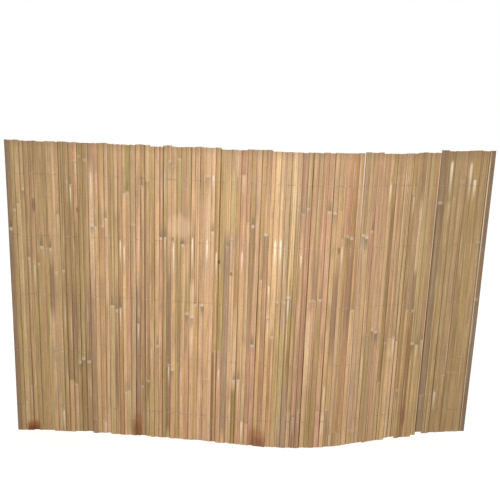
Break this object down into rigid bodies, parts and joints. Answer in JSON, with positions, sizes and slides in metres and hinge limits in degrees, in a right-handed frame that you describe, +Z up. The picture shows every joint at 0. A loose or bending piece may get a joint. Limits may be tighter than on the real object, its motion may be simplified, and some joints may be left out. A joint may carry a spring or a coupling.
{
  "type": "bamboo screen",
  "caption": "Free-standing bowed garden screen of split bamboo slats side by side, bound by rows of thin galvanised wire.",
  "frame": {"origin": "middle of the screen's width and depth, on the floor that the slats stand on", "axes": "+X along the width, to the right seen from the front; +Y from the front to the back, the way the two ends bend; +Z up along the slats"},
  "size_m": [1.569, 0.118, 1.0071],
  "materials": {
    "bamboo": "natural, unfinished",
    "wire": "galvanised"
  },
  "bodies": {
    "root": {"binding_wire_1": "wire", "binding_wire_2": "wire", "binding_wire_3": "wire", "binding_wire_4": "wire", "binding_wire_5": "wire", "slat_pair_01": "bamboo", "slat_pair_02": "bamboo", "slat_pair_03": "bamboo", "slat_pair_04": "bamboo", "slat_pair_05": "bamboo", "slat_pair_06": "bamboo", "slat_pair_07": "bamboo", "slat_pair_08": "bamboo", "slat_pair_09": "bamboo", "slat_pair_10": "bamboo", "slat_pair_11": "bamboo", "slat_pair_12": "bamboo", "slat_pair_13": "bamboo", "slat_pair_14": "bamboo", "slat_pair_15": "bamboo", "slat_pair_16": "bamboo", "slat_pair_17": "bamboo", "slat_pair_18": "bamboo", "slat_pair_19": "bamboo", "slat_pair_20": "bamboo", "slat_pair_21": "bamboo", "slat_pair_22": "bamboo", "slat_pair_23": "bamboo", "slat_pair_24": "bamboo", "slat_pair_25": "bamboo", "slat_pair_26": "bamboo", "slat_pair_27": "bamboo", "slat_pair_28": "bamboo", "slat_pair_29": "bamboo", "slat_pair_30": "bamboo", "slat_pair_31": "bamboo", "slat_pair_32": "bamboo", "slat_pair_33": "bamboo", "slat_pair_34": "bamboo", "slat_pair_35": "bamboo", "slat_pair_36": "bamboo", "slat_pair_37": "bamboo", "slat_pair_38": "bamboo", "slat_pair_39": "bamboo", "slat_pair_40": "bamboo", "slat_pair_41": "bamboo", "slat_pair_42": "bamboo", "slat_pair_43": "bamboo", "slat_pair_44": "bamboo", "slat_pair_45": "bamboo", "slat_pair_46": "bamboo", "slat_pair_47": "bamboo", "slat_pair_48": "bamboo", "slat_pair_49": "bamboo", "slat_pair_50": "bamboo"}
  },
  "joints": []
}
